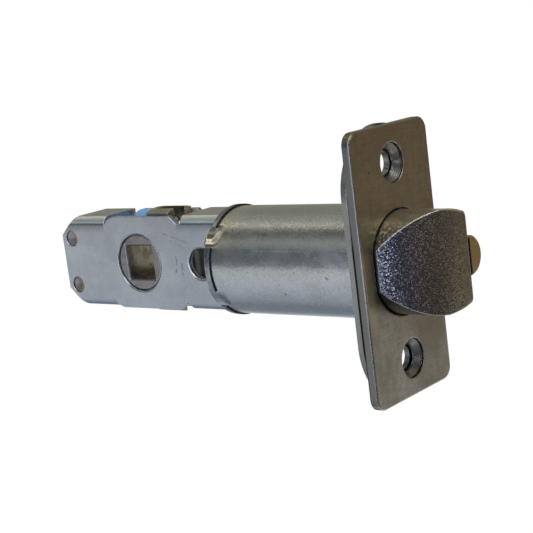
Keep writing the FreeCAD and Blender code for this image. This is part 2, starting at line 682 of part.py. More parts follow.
def make_hub():
    """Hub: two journals, a core with a square hole, and two cams that lean forwards."""
    owner = body("hub")
    half = CASE_HALF_W - D["hub_sunk"]
    core = sketch(owner, "hub_core", "XZ_Plane")
    circle(core, -D["backset"], ZERO, D["hub_core_dia"] / 2)
    pad(owner, core, half * 2, both_ways=True)
    shoulder = CASE_INNER_W - D["hub_shoulder"]
    for name, side in (("near", 1), ("far", -1)):
        journal = sketch(owner, "hub_%s_journal" % name, "XZ_Plane", offset=shoulder * side)
        circle(journal, -D["backset"], ZERO, D["hub_dia"] / 2)
        pad(owner, journal, half - shoulder, backwards=side < 0)
    dress(owner, "Chamfer", "hub_journal_edges", D["hub_edge"],
          lambda edge: edge.isClosed() and all_along(edge, lambda place: at(abs(place.y), half)))
    cams = sketch(owner, "hub_cams", "XZ_Plane")
    tip, centre = D["cam_tip"], -D["backset"]
    ahead, up = sin(CAM_LEAN), cos(CAM_LEAN)
    root = D["hub_core_dia"] / 4
    root_x, root_z = centre + root * ahead, root * up
    head_x, head_z = centre + CAM_ARM * ahead, CAM_ARM * up
    cam = [
        (root_x + tip * up, root_z - tip * ahead),
        (head_x + tip * up, head_z - tip * ahead, tip, 1),
        (head_x + tip * ahead, head_z + tip * up, tip, 1),
        (head_x - tip * up, head_z + tip * ahead), (root_x - tip * up, root_z + tip * ahead),
    ]
    outline(cams, cam)
    outline(cams, mirrored(cam))
    pad(owner, cams, D["cam_thick"], both_ways=True)
    square = sketch(owner, "hub_square", "XZ_Plane")
    side = D["spindle_square"] / 2
    box_outline(square, centre - side, centre + side, -side, side)
    pocket(owner, square, (half + PAST) * 2, both_ways=True)
    dress(owner, "Chamfer", "hub_square_chamfer", D["spindle_chamfer"],
          lambda edge: isinstance(edge.Curve, Part.Line)
          and all_along(edge, lambda place: at(abs(place.y), half)))


def make_retractor():
    """Retractor: heads in the windows, forked arms above and below the hub, a front bridge."""
    owner = body("retractor")
    front, rear = -D["bridge_setback"], -BRIDGE_REAR
    head_rear = WALL_X - D["head_wall"]
    head_r, half = BARREL_R + D["head_rise"], D["head_width"] / 2
    arm_outer = CASE_INNER_H - D["arm_clear"]
    side_view = sketch(owner, "retractor_side", "XZ_Plane")
    outline(side_view, both_halves([
        (front, arm_outer), (-D["head_front"], arm_outer), (-D["head_front"], head_r),
        (head_rear, head_r), (head_rear, D["arm_inner"]), (rear, D["arm_inner"]),
    ]))
    pad(owner, side_view, D["head_width"], both_ways=True)
    crown = sketch(owner, "retractor_crown", "YZ_Plane")
    crown_z = sqrt(head_r * head_r - half * half)
    above = [
        (half, crown_z, head_r, 1), (-half, crown_z), (-(half + PAST), crown_z),
        (-(half + PAST), head_r + PAST), (half + PAST, head_r + PAST), (half + PAST, crown_z),
    ]
    outline(crown, above)
    outline(crown, mirrored(above))
    pocket(owner, crown, D["case_rear"] * 2, both_ways=True)
    fork = sketch(owner, "retractor_fork", "XY_Plane")
    slot, fork_end = D["fork_slot"] / 2, -D["fork_front"]
    outline(fork, [
        (WALL_X, -slot), (fork_end, -slot, slot, 1), (fork_end + slot, ZERO, slot, 1),
        (fork_end, slot), (WALL_X, slot),
    ])
    pocket(owner, fork, (head_r + PAST) * 2, both_ways=True)
    under = sketch(owner, "retractor_under_wall", "XZ_Plane")
    wall_low = head_r - D["wall_high"]
    box_outline(under, head_rear - PAST, WALL_X, -wall_low, wall_low)
    pocket(owner, under, D["fork_slot"], both_ways=True)
    clear = D["bar_clear"]
    bar_y = D["bar_thick"] / 2 + clear
    slot_z, pocket_z = D["bar_height"] / 2 + clear, D["bar_head_height"] / 2 + clear
    passage = sketch(owner, "retractor_bar_slot", "YZ_Plane", offset=front + PAST)
    box_outline(passage, -bar_y, bar_y, -slot_z, slot_z)
    pocket(owner, passage, D["bridge_thick"] + PAST * 2)
    recess = sketch(owner, "retractor_bar_pocket", "YZ_Plane", offset=rear - PAST)
    box_outline(recess, -bar_y, bar_y, -pocket_z, pocket_z)
    pocket(owner, recess, D["bar_pocket"] + PAST, backwards=True)


def make_latch_bolt():
    """Bolt: a nose with a curved bevel and a flat back, a round rear body and a collar."""
    owner = body("latch_bolt")
    nose = sketch(owner, "bolt_nose", "YZ_Plane", offset=-D["nose_setback"])
    side, back = BOLT_SIDE, D["bolt_back_flat"]
    side_z = sqrt(BOLT_R * BOLT_R - side * side)
    back_z = sqrt(BOLT_R * BOLT_R - back * back)
    outline(nose, [
        (-side, side_z), (-side, -side_z, BOLT_R, 1), (ZERO, -BOLT_R, BOLT_R, 1),
        (back, -back_z), (back, back_z, BOLT_R, 1), (ZERO, BOLT_R, BOLT_R, 1),
    ])
    pad(owner, nose, D["nose_setback"] + D["throw"])
    bevel = sketch(owner, "bolt_bevel", "XY_Plane")
    tip, beyond = D["throw"], -(BOLT_R + PAST)
    outline(bevel, [
        (tip, back, D["bevel_radius"], -1), (D["bevel_start"], -side),
        (D["bevel_start"], beyond), (tip + PAST, beyond), (tip + PAST, back),
    ])
    pocket(owner, bevel, (BOLT_R + PAST) * 2, both_ways=True)
    corners = sketch(owner, "bolt_tip_corners", "XZ_Plane")
    corner = D["bolt_tip_round"]
    rounding = [
        (tip, BOLT_R - corner, corner, 1), (tip - corner, BOLT_R), (tip - corner, BOLT_R + PAST),
        (tip + PAST, BOLT_R + PAST), (tip + PAST, BOLT_R - corner),
    ]
    outline(corners, rounding)
    outline(corners, mirrored(rounding))
    pocket(owner, corners, (BOLT_R + PAST) * 2, both_ways=True)
    rear_body = sketch(owner, "bolt_rear_body", "YZ_Plane", offset=-D["nose_setback"])
    circle(rear_body, ZERO, ZERO, BOLT_R)
    pad(owner, rear_body, D["collar_setback"] - D["nose_setback"], backwards=True)
    collar = sketch(owner, "bolt_collar", "YZ_Plane", offset=-D["collar_setback"])
    circle(collar, ZERO, ZERO, BORE_R - D["collar_clear"])
    pad(owner, collar, D["collar_thick"], backwards=True)
    passage = sketch(owner, "bolt_plunger_passage", "YZ_Plane", offset=-D["nose_setback"])
    room, centre = PLUNGER_R + D["plunger_passage"], PLUNGER_Y
    outline(passage, [
        (BARREL_R + PAST, -room), (BARREL_R + PAST, room), (centre, room, room, 1),
        (centre - room, ZERO, room, 1), (centre, -room),
    ])
    pocket(owner, passage, COLLAR_REAR)
    bore = sketch(owner, "bolt_spring_bore", "YZ_Plane", offset=-D["spring_bore_end"])
    circle(bore, ZERO, ZERO, D["spring_bore_dia"] / 2)
    pocket(owner, bore, COLLAR_REAR)
    slot = sketch(owner, "bolt_bar_slot", "YZ_Plane", offset=-D["bar_slot_end"])
    slot_y, slot_z = D["bar_thick"] / 2 + D["seat_gap"], D["bar_height"] / 2 + D["seat_gap"]
    box_outline(slot, -slot_y, slot_y, -slot_z, slot_z)
    pocket(owner, slot, COLLAR_REAR)
    pin_hole = sketch(owner, "bolt_pin_hole", "XZ_Plane")
    circle(pin_hole, -D["pin_setback"], ZERO, D["pin_dia"] / 2 + D["seat_gap"])
    pocket(owner, pin_hole, (BOLT_R + PAST) * 2, both_ways=True)


def make_bolt_bar():
    """Flat bar from the bolt to the retractor, with a T head behind the bridge."""
    owner = body("bolt_bar")
    side_view = sketch(owner, "bar_outline", "XZ_Plane")
    half, head = D["bar_height"] / 2, D["bar_head_height"] / 2
    step = -(BRIDGE_REAR - D["bar_pocket"] + D["seat_gap"])
    end = step - D["bar_head_long"]
    front = -(D["bar_slot_end"] + D["seat_gap"])
    outline(side_view, both_halves([(front, half), (step, half), (step, head), (end, head)]))
    circle(side_view, -D["pin_setback"], ZERO, D["pin_dia"] / 2 + D["seat_gap"])
    pad(owner, side_view, D["bar_thick"], both_ways=True)


def make_bolt_pin():
    """Cross pin that holds the bar in the bolt."""
    owner = body("bolt_pin")
    near_end = BOLT_SIDE - D["pin_sunk"]
    section = sketch(owner, "pin_section", "XZ_Plane", offset=near_end)
    circle(section, -D["pin_setback"], ZERO, D["pin_dia"] / 2)
    pad(owner, section, near_end + D["bolt_back_flat"] - D["pin_sunk"], backwards=True)


def make_guide_plate():
    """Guide plate across the barrel: seat of both springs, with two ears for the lever."""
    owner = body("guide_plate")
    blank = sketch(owner, "guide_blank", "YZ_Plane", offset=-D["guide_setback"])
    circle(blank, ZERO, ZERO, BORE_R - D["seat_gap"])
    clear = D["bar_clear"]
    bar_y, bar_z = D["bar_thick"] / 2 + clear, D["bar_height"] / 2 + clear
    box_outline(blank, -bar_y, bar_y, -bar_z, bar_z)
    tail = D["tail_clear"]
    box_outline(blank, TAIL_Y - tail, TAIL_FAR + tail, -(D["tail_low"] + tail),
                D["tail_rest"] + tail)
    pad(owner, blank, D["guide_thick"], backwards=True)
    inner = D["lever_thick"] / 2 + D["ear_gap"]
    for name, offset in (("near", inner + D["ear_thick"]), ("far", -inner)):
        ear = sketch(owner, "guide_%s_ear" % name, "XZ_Plane", offset=offset)
        box_outline(ear, -(GUIDE_REAR + D["ear_long"]), -GUIDE_REAR, D["ear_low"], D["ear_high"])
        circle(ear, -D["lever_setback"], D["lever_height"], D["lever_pin_dia"] / 2 + D["seat_gap"])
        pad(owner, ear, D["ear_thick"], backwards=True)


def make_lever_pin():
    """Pin through the guide plate's ears."""
    owner = body("lever_pin")
    section = sketch(owner, "lever_pin_section", "XZ_Plane")
    circle(section, -D["lever_setback"], D["lever_height"], D["lever_pin_dia"] / 2)
    pad(owner, section, D["lever_thick"] + (D["ear_gap"] + D["ear_thick"]) * 2, both_ways=True)


def make_deadlock_lever():
    """Lever on the guide plate: an eye, a beam, and a finger that rests on the plunger's bar."""
    owner = body("deadlock_lever")
    beam = sketch(owner, "lever_beam", "XZ_Plane")
    pivot_x, pivot_z, eye = -D["lever_setback"], D["lever_height"], D["lever_eye"]
    low, high, rear = D["lever_low"], D["lever_high"], -D["lever_reach"]
    low_x = pivot_x - sqrt(eye * eye - (low - pivot_z) * (low - pivot_z))
    outline(beam, [
        (low_x, low, eye, 1), (pivot_x, pivot_z - eye, eye, 1), (pivot_x + eye, pivot_z, eye, 1),
        (pivot_x, pivot_z + eye), (pivot_x - eye, high), (rear, high), (rear, low),
    ])
    circle(beam, pivot_x, pivot_z, D["lever_pin_dia"] / 2 + D["lever_pin_clear"])
    pad(owner, beam, D["lever_thick"], both_ways=True)
    web = sketch(owner, "lever_web", "XZ_Plane", offset=-TAIL_FAR)
    box_outline(web, rear, rear + D["finger_long"], low, high)
    pad(owner, web, TAIL_FAR + D["lever_thick"] / 2)
    finger = sketch(owner, "lever_finger", "XZ_Plane", offset=-TAIL_FAR)
    box_outline(finger, rear, rear + D["finger_long"], D["tail_rest"] + D["finger_gap"], high)
    pad(owner, finger, D["tail_thick"])


def make_plunger():
    """Half-round plunger with its flat against the bolt's back, and a seat for its bar."""
    owner = body("plunger")
    section = sketch(owner, "plunger_section", "YZ_Plane", offset=-D["plunger_rear"])
    flat_z = sqrt(PLUNGER_R * PLUNGER_R - (PLUNGER_Y - PLUNGER_FLAT) * (PLUNGER_Y - PLUNGER_FLAT))
    outline(section, [
        (PLUNGER_FLAT, -flat_z, PLUNGER_R, 1), (PLUNGER_Y + PLUNGER_R, ZERO, PLUNGER_R, 1),
        (PLUNGER_FLAT, flat_z),
    ])
    pad(owner, section, D["plunger_rear"] + D["plunger_tip"])
    dress(owner, "Chamfer", "plunger_end", D["plunger_edge"],
          lambda edge: all_along(edge, lambda place: at(place.x, D["plunger_tip"])))
    seat = sketch(owner, "plunger_bar_seat", "XY_Plane")
    box_outline(seat, -(D["plunger_rear"] + PAST), -(D["tail_front"] - D["seat_gap"]),
                ZERO, TAIL_FAR + D["seat_gap"])
    pocket(owner, seat, (PLUNGER_R + PAST) * 2, both_ways=True)
    rivet_hole = sketch(owner, "plunger_rivet_hole", "XZ_Plane", offset=-TAIL_Y)
    circle(rivet_hole, -D["tail_rivet_setback"], ZERO, D["tail_rivet_dia"] / 2 + D["seat_gap"])
    pocket(owner, rivet_hole, D["tail_rivet_long"] + D["seat_gap"])


def make_plunger_bar():
    """Flat bar behind the plunger. Its sloped top lets the lever down as it moves back."""
    owner = body("plunger_bar")
    side_view = sketch(owner, "tail_outline", "XZ_Plane", offset=-TAIL_FAR)
    rear, front, low = -D["tail_rear"], -D["tail_front"], -D["tail_low"]
    rest_x = rear + D["tail_rest_long"]
    outline(side_view, [
        (rear, low), (front, low), (front, D["tail_run"]), (rest_x + D["tail_slope"], D["tail_run"]),
        (rest_x, D["tail_rest"]), (rear, D["tail_rest"]),
    ])
    circle(side_view, -D["tail_rivet_setback"], ZERO, D["tail_rivet_dia"] / 2 + D["seat_gap"])
    pad(owner, side_view, D["tail_thick"])


def make_plunger_rivet():
    """Rivet that holds the bar to the plunger."""
    owner = body("plunger_rivet")
    section = sketch(owner, "plunger_rivet_section", "XZ_Plane", offset=-TAIL_Y)
    circle(section, -D["tail_rivet_setback"], ZERO, D["tail_rivet_dia"] / 2)
    pad(owner, section, D["tail_rivet_long"], backwards=True)


def make_spring(name, coil_dia, rear, front, axis_y):
    """Compression spring between two seats, on an axis along X: short straight runs of wire."""
    wire_r, coil_r = D["%s_wire" % name].value / 2, coil_dia.value / 2
    end = wire_r + D["spring_end_gap"].value
    first, last = rear.value + end, front.value - end
    steps = round(D["%s_turns" % name].value * SPRING_STEPS)
    route = []
    for step in range(steps + 1):
        angle = 2 * math.pi * step / SPRING_STEPS
        route.append(Vector(first + (last - first) * step / steps,
                            axis_y.value + coil_r * math.cos(angle), coil_r * math.sin(angle)))
    along = (route[1] - route[0]).normalize()
    side = along.cross(Vector(1, 0, 0)).normalize()
    up = side.cross(along)
    corners = []
    for corner in range(WIRE_SIDES + 1):
        angle = 2 * math.pi * (corner + 0.5) / WIRE_SIDES
        corners.append(route[0] + side * (wire_r * math.cos(angle)) + up * (wire_r * math.sin(angle)))
    feature = DOC.addObject("Part::Feature", name)
    feature.Label = name
    feature.Shape = Part.makePolygon(route).makePipeShell([Part.makePolygon(corners)], True, True, 1)


def make_springs():
    rear = -D["guide_setback"]
    make_spring("bolt_spring", D["bolt_spring_dia"], rear, -D["spring_bore_end"], ZERO)
    inner, outer = TAIL_FAR + D["plunger_spring_inner"], BORE_R - D["plunger_spring_outer"]
    make_spring("plunger_spring", outer - inner - D["plunger_spring_wire"], rear,
                -D["plunger_rear"], (inner + outer) / 2)


def check_document():
    """Stops if a feature failed or a sub-part has no valid solid, and gives the sub-parts."""
    DOC.recompute()
    for item in DOC.Objects:
        if "Invalid" in item.State or "Error" in item.State:
            raise RuntimeError("%s failed: %s" % (item.Name, item.State))
    parts = [item for item in DOC.Objects if item.TypeId in ("PartDesign::Body", "Part::Feature")]
    for part in parts:
        shape = part.Shape
        if shape.isNull() or not shape.isValid() or not shape.Solids:
            raise RuntimeError("%s has no valid solid" % part.Label)
        print("%-16s %2d solid, %9.2f mm3" % (part.Label, len(shape.Solids), shape.Volume))
    return parts


def main():
    make_face_plate()
    make_back_plate()
    make_barrel()
    make_end_ring()
    make_case_channel()
    make_case_cover()
    make_case_rivets()
    make_hub()
    make_retractor()
    make_latch_bolt()
    make_bolt_bar()
    make_bolt_pin()
    make_guide_plate()
    make_lever_pin()
    make_deadlock_lever()
    make_plunger()
    make_plunger_bar()
    make_plunger_rivet()
    make_springs()
    parts = check_document()
    os.makedirs("parts", exist_ok=True)
    for part in parts:
        part.Shape.exportStep("parts/%s.step" % part.Label)


main()
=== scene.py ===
"""Looks of the tubular door latch: finishes, spring wire, floor, light and camera."""

import math

import bpy
from mathutils import Matrix, Vector


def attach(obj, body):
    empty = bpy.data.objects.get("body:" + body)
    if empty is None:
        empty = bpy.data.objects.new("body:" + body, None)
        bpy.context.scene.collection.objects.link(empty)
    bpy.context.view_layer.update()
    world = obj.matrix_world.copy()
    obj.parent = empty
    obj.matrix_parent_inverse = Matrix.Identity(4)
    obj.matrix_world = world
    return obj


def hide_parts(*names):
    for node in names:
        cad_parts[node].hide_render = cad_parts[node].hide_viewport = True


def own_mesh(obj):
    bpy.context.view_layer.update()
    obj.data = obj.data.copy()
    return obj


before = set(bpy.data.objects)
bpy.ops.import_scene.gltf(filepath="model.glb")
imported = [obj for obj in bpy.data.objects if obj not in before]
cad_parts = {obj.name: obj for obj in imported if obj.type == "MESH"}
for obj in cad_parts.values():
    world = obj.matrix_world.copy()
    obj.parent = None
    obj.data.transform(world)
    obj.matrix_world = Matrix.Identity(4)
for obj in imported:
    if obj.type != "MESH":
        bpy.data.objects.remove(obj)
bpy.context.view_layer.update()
MM = 0.001
# Screw holes' height, their countersinks' radius, and the step of the rings turned in them
SCREW_Z = 20.6375 * MM
SINK_R = 4.25 * MM
RING_STEP = 0.32 * MM
# Hub's hole and the slot's round end in the case's sides: place along the axis and radius
RIMS = [(-69.85 * MM, 6.74 * MM), (-50.6 * MM, 3.6 * MM)]
# Middle of the window in the case's top bend, and of the end ring
WINDOW_X = -0.0685
RING_X = -0.04305
# Rubbed marks on the case's near side: two ends (x, z), width and strength
CASE_MARKS = [
    ((-0.0580, 0.0015), (-0.0580, 0.0004), 0.00035, 0.9),
    ((-0.0581, -0.0002), (-0.0586, -0.0021), 0.00022, 0.7),
    ((-0.0565, -0.0002), (-0.0566, -0.0040), 0.0005, 0.35),
    ((-0.0616, 0.0071), (-0.0540, 0.0048), 0.00022, 0.4),
    ((-0.0603, 0.0057), (-0.0546, 0.0034), 0.0002, 0.35),
]
# Marks on the tube's near side: two ends (x, z), width, strength and colour
TUBE_MARKS = [
    ((-0.0302, 0.00432), (-0.0160, 0.00428), 0.00014, 0.35, (246, 248, 248)),
    ((-0.0111, -0.0010), (-0.0108, -0.0013), 0.0003, 0.8, (88, 88, 92)),
    ((-0.0228, -0.0049), (-0.0231, -0.0052), 0.0003, 0.6, (100, 100, 104)),
]
# Lugs folded over the ring: their angle from the case's plane, in radians
LUG_ANGLE = math.radians(37)


class Graph:
    """A material's nodes around one Principled shader, in the CAD's own coordinates."""

    def __init__(self, name):
        self.material = bpy.data.materials.new(name)
        self.material.use_nodes = True
        self.tree = self.material.node_tree
        self.tree.nodes.clear()
        self.output = self.tree.nodes.new("ShaderNodeOutputMaterial")
        self.shader = self.node("ShaderNodeBsdfPrincipled")
        self.link(self.shader.outputs[0], self.output.inputs["Surface"])
        self.place = self.node("ShaderNodeTexCoord")

    def node(self, kind, **settings):
        made = self.tree.nodes.new(kind)
        for key, value in settings.items():
            setattr(made, key, value)
        return made

    def link(self, source, target):
        self.tree.links.new(source, target)

    def feed(self, target, value):
        """Give a socket a plain value, or link another socket to it."""
        if isinstance(value, (int, float, tuple)):
            target.default_value = value
        else:
            self.link(value, target)

    def set(self, name, value):
        """Feed one of the shader's sockets."""
        self.feed(self.shader.inputs[name], value)

    def now(self, name):
        """What one of the shader's sockets is linked to so far."""
        return self.shader.inputs[name].links[0].from_socket

    def math(self, operation, *values):
        made = self.node("ShaderNodeMath", operation=operation)
        for socket, value in zip(made.inputs, values):
            self.feed(socket, value)
        return made.outputs[0]

    def plus(self, a, b):
        return self.math("ADD", a, b)

    def minus(self, a, b):
        return self.math("SUBTRACT", a, b)

    def times(self, first, *others):
        for other in others:
            first = self.math("MULTIPLY", first, other)
        return first

    def larger(self, a, b):
        return self.math("MAXIMUM", a, b)

    def size(self, value):
        return self.math("ABSOLUTE", value)

    def off(self, value, place):
        """How far a value is from a place."""
        return self.size(self.minus(value, place))

    def hypot(self, a, b):
        return self.math("SQRT", self.plus(self.times(a, a), self.times(b, b)))

    def axes(self, source="Object"):
        """x, y and z of the place, or of the normal."""
        made = self.node("ShaderNodeSeparateXYZ")
        self.link(self.place.outputs[source], made.inputs[0])
        return tuple(made.outputs)

    def stretched(self, scale):
        """The place, scaled along each axis."""
        made = self.node("ShaderNodeMapping")
        made.inputs["Scale"].default_value = scale
        self.link(self.place.outputs["Object"], made.inputs["Vector"])
        return made.outputs[0]

    def noise(self, scale, detail=3.0, rough=0.55, stretch=(1, 1, 1)):
        made = self.node("ShaderNodeTexNoise")
        made.inputs["Scale"].default_value = scale
        made.inputs["Detail"].default_value = detail
        made.inputs["Roughness"].default_value = rough
        self.link(self.stretched(stretch), made.inputs["Vector"])
        return made.outputs["Fac"]

    def band(self, value, low, high, to_low=0.0, to_high=1.0):
        """A smooth step: to_low where the value is at low or past it, to_high at high."""
        made = self.node("ShaderNodeMapRange", interpolation_type="SMOOTHSTEP")
        for name, number in (("Value", value), ("From Min", low), ("From Max", high),
                             ("To Min", to_low), ("To Max", to_high)):
            self.feed(made.inputs[name], number)
        return made.outputs[0]

    def mix(self, share, first, second):
        """From the first colour to the second; the node's sockets 6, 7 and 2 are its colours."""
        made = self.node("ShaderNodeMix", data_type="RGBA")
        self.feed(made.inputs[0], share)
        for socket, value in ((made.inputs[6], first), (made.inputs[7], second)):
            if isinstance(value, tuple):
                value = (*value, 1.0)
            self.feed(socket, value)
        return made.outputs[2]

    def bump(self, height, distance, normal):
        made = self.node("ShaderNodeBump")
        made.inputs["Strength"].default_value = 1.0
        made.inputs["Distance"].default_value = distance
        self.link(height, made.inputs["Height"])
        self.link(normal, made.inputs["Normal"])
        return made.outputs[0]

    def soft_edge(self, radius):
        """The normal, rounded at edges."""
        made = self.node("ShaderNodeBevel", samples=6)
        made.inputs["Radius"].default_value = radius
        return made.outputs[0]

    def facets(self, scale, tilt, normal):
        """The normal, tilted at random in small flat grains."""
        made = self.node("ShaderNodeTexVoronoi", feature="F1")
        made.inputs["Scale"].default_value = scale
        self.link(self.stretched((1, 1, 1)), made.inputs["Vector"])
        source = made.outputs["Color"]
        for operation, value in (("SUBTRACT", (0.5, 0.5, 0.5)), ("SCALE", tilt), ("ADD", normal),
                                 ("NORMALIZE", None)):
            step = self.node("ShaderNodeVectorMath", operation=operation)
            self.link(source, step.inputs[0])
            if operation == "SCALE":
                self.feed(step.inputs["Scale"], value)
            elif value is not None:
                self.feed(step.inputs[1], value)
            source = step.outputs[0]
        return source

    def rolled_rim(self, centre_x, radius):
        """Height of a flat side that falls away towards a round hole on the axis."""
        roll = 0.5 * MM
        x, _, z = self.axes()
        away = self.hypot(self.minus(x, centre_x), z)
        return self.band(away, radius - roll * 0.3, radius + roll)

    def scratch(self, start, end, width, first=0):
        """1 along a straight mark between two places (x, z), or (y, z) where first is 1."""
        reach = (end[0] - start[0], end[1] - start[1])
        length = math.hypot(*reach)
        way = (reach[0] / length, reach[1] / length)
        places = self.axes()
        across, up = self.minus(places[first], start[0]), self.minus(places[2], start[1])
        run = self.plus(self.times(across, way[0]), self.times(up, way[1]))
        beside = self.minus(self.times(across, way[1]), self.times(up, way[0]))
        past = self.larger(self.minus(0.0, run), self.minus(run, length))
        return self.band(self.larger(self.size(beside), past), width, width * 0.3)

    def edge_mask(self, radius):
        """1 close to a sharp edge, 0 on open faces."""
        geometry = self.node("ShaderNodeNewGeometry")
        dot = self.node("ShaderNodeVectorMath", operation="DOT_PRODUCT")
        self.link(self.soft_edge(radius), dot.inputs[0])
        self.link(geometry.outputs["Normal"], dot.inputs[1])
        return self.band(self.minus(1.0, dot.outputs["Value"]), 0.02, 0.25)


def srgb(*parts):
    """A colour as seen in a picture, 0 to 255, as linear light."""
    shares = [part / 255 for part in parts]
    return tuple(share / 12.92 if share <= 0.04045 else ((share + 0.055) / 1.055) ** 2.4
                 for share in shares)


def metal(name, light, dark, rough, blotch=90.0, grain=(1, 1, 1), grain_scale=2500.0,
          grain_depth=0.00001, edge=None, edge_radius=0.00025, rough_swing=0.08):
    """Plated or bare sheet: blotches between two colours, fine grain, and softened edges, lighter
    there as edge wear and as painted highlight.
    """
    g = Graph(name)
    patches = g.band(g.noise(blotch, 4.0, 0.6), 0.3, 0.7)
    colour = g.mix(patches, light, dark)
    fine = g.noise(grain_scale, 3.0, 0.6, grain)
    colour = g.mix(g.band(fine, 0.35, 0.75, 0.0, 0.35), colour, dark)
    # The edge colour is partly edge wear and partly a painted highlight.
    if edge is not None:
        colour = g.mix(g.edge_mask(edge_radius), colour, edge)
    g.set("Base Color", colour)
    g.set("Metallic", 1.0)
    swing = g.band(g.noise(blotch * 4, 3.0, 0.6), 0.3, 0.7, rough - rough_swing, rough + rough_swing)
    g.set("Roughness", swing)
    g.set("Normal", g.bump(fine, grain_depth, g.soft_edge(edge_radius)))
    return g


def put(node, material):
    """A CAD node shows this finish in its one material slot."""
    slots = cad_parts[node].data.materials
    slots.clear()
    slots.append(material)


def make_case_finish():
    """Zinc on flat sheet: calm and satin, with rubbed marks by the hub, a painted highlight on the top
    bend with painted shade below it, and painted shade, glint and blue reflection on the inner faces.
    """
    g = metal("case_finish", srgb(169, 175, 182), srgb(153, 158, 165), 0.27, blotch=45.0,
              grain=(1, 1, 0.25), grain_scale=1800.0, grain_depth=0.0000025,
              edge=srgb(214, 222, 230), edge_radius=0.0003, rough_swing=0.03)
    x, y, z = g.axes()
    lean_x, lean_y, lean_z = g.axes("Normal")
    colour = g.now("Base Color")
    near = g.band(y, -0.0055, -0.0056)
    broken = g.band(g.noise(1500.0, 2.0), 0.42, 0.56)
    for start, end, width, share in CASE_MARKS:
        mark = g.times(g.scratch(start, end, width), g.times(near, broken), share)
        colour = g.mix(mark, colour, srgb(66, 68, 76))

    # Painted highlight on the top bend: lighter than the flat sheet, lightest where it faces up.
    bend = g.times(g.band(z, 0.0, 0.001), g.band(g.size(lean_y), 0.998, 0.95),
                   g.band(g.size(lean_z), 0.998, 0.95), g.band(g.size(lean_x), 0.5, 0.3))
    bend_highlight = g.mix(g.band(lean_z, 0.5, 0.3), srgb(200, 206, 208), srgb(236, 242, 250))
    round_top = g.band(lean_z, 0.78, 0.92)
    colour = g.mix(bend, colour, g.mix(round_top, bend_highlight, srgb(242, 244, 235)))
    g.set("Roughness", g.plus(g.now("Roughness"), g.times(bend, 0.14)))
    # Painted shade on the near side just below the top bend.
    shade_below_bend = g.times(g.band(z, 0.0068, 0.0090), g.band(g.off(x, WINDOW_X), 0.0112, 0.0122),
                    g.band(z, 0.0095, 0.0089), near)
    colour = g.mix(shade_below_bend, colour, srgb(128, 134, 139))

    # Inner faces: painted shade with a painted glint on the strip that shows through the slot, a
    # painted blue reflection on the strip beside the window, and pale elsewhere
    inwards = g.band(g.times(y, lean_y), -0.003, -0.004)
    inner = g.times(g.band(g.size(y), 0.0051, 0.0049),
                    g.larger(inwards, g.band(g.size(z), 0.0088, 0.0084)))
    strip = g.band(g.off(x, -0.0609), 0.0012, 0.0002)
    slot_shade_and_glint = g.mix(strip, srgb(146, 152, 154), srgb(255, 255, 250))
    slot_shade_and_glint = g.mix(g.band(x, -0.0632, -0.0623), srgb(236, 240, 240), slot_shade_and_glint)
    blue_reflection_and_grey = g.mix(g.band(x, -0.0622, -0.0612), srgb(150, 196, 240), srgb(168, 164, 154))
    shade = g.mix(g.band(g.size(z), 0.0045, 0.006), slot_shade_and_glint, blue_reflection_and_grey)
    g.set("Base Color", g.mix(inner, colour, shade))
    g.set("Metallic", g.band(inner, 0.0, 1.0, 1.0, 0.15))

    height = g.times(*(g.rolled_rim(centre_x, radius) for centre_x, radius in RIMS))
    g.set("Normal", g.bump(height, 0.00028, g.now("Normal")))
    return g.material


def make_barrel_finish():
    """Drawn tube with fine bright and dark specks, smooth pressed lugs at its rear, a painted warm
    glow on its upper rear, and edges lightened as wear and as painted highlight.
    """
    g = Graph("barrel_finish")
    x, y, z = g.axes()
    patches = g.band(g.noise(180.0, 4.0, 0.6), 0.3, 0.7)
    specks = g.noise(2600.0, 3.0, 0.7)
    colour = g.mix(patches, srgb(177, 180, 183), srgb(168, 170, 171))
    colour = g.mix(g.band(specks, 0.5, 0.72, 0.0, 0.5), colour, srgb(138, 138, 133))
    colour = g.mix(g.band(specks, 0.5, 0.3, 0.0, 0.36), colour, srgb(214, 216, 214))
    # Edges lighter: partly wear and partly painted highlight.
    colour = g.mix(g.edge_mask(0.0003), colour, srgb(216, 220, 222))
    # Painted warm glow on the upper rear of the tube.
    rear = g.times(g.band(x, -0.0355, -0.0405), g.band(z, 0.003, 0.006), 0.4)
    colour = g.mix(rear, colour, srgb(206, 197, 168))
    facing = g.band(y, -0.009, -0.0095)
    for start, end, width, strength, mark in TUBE_MARKS:
        share = g.times(g.scratch(start, end, width), facing, strength)
        colour = g.mix(share, colour, srgb(*mark))
    g.set("Base Color", colour)
    g.set("Metallic", 1.0)

    from_lug = g.off(g.math("ARCTAN2", g.size(z), g.size(y)), LUG_ANGLE)
    folded = g.band(x, -0.0396, -0.0424)
    pressed = g.times(g.band(from_lug, math.radians(14), math.radians(1)), folded)
    rubbed = g.times(g.band(from_lug, math.radians(22), math.radians(15)), folded)
    satin = g.band(g.noise(300.0, 4.0), 0.3, 0.7, 0.24, 0.31)
    g.set("Roughness", g.times(satin, g.band(rubbed, 0.0, 1.0, 1.0, 0.6)))
    relief = g.times(specks, g.minus(1.0, rubbed))
    uneven = g.bump(relief, 0.000021, g.soft_edge(0.0003))
    g.set("Normal", g.bump(g.minus(1.0, pressed), 0.0007, uneven))
    return g.material


def make_ring_finish():
    """Blue-grey ring with a slightly crowned rim and painted shade along the seam to the tube."""
    g = metal("ring_finish", srgb(150, 152, 161), srgb(116, 116, 124), 0.26, blotch=260.0,
              edge=srgb(206, 206, 214))
    x, _, _ = g.axes()
    # Painted shade in the gap between the ring and the tube.
    seam_shade = g.band(x, -0.04230, -0.04220)
    g.set("Base Color", g.mix(seam_shade, g.now("Base Color"), srgb(54, 53, 55)))
    crown = g.band(g.off(x, RING_X), 0.0011, 0.0)
    g.set("Normal", g.bump(crown, 0.00012, g.now("Normal")))
    return g.material


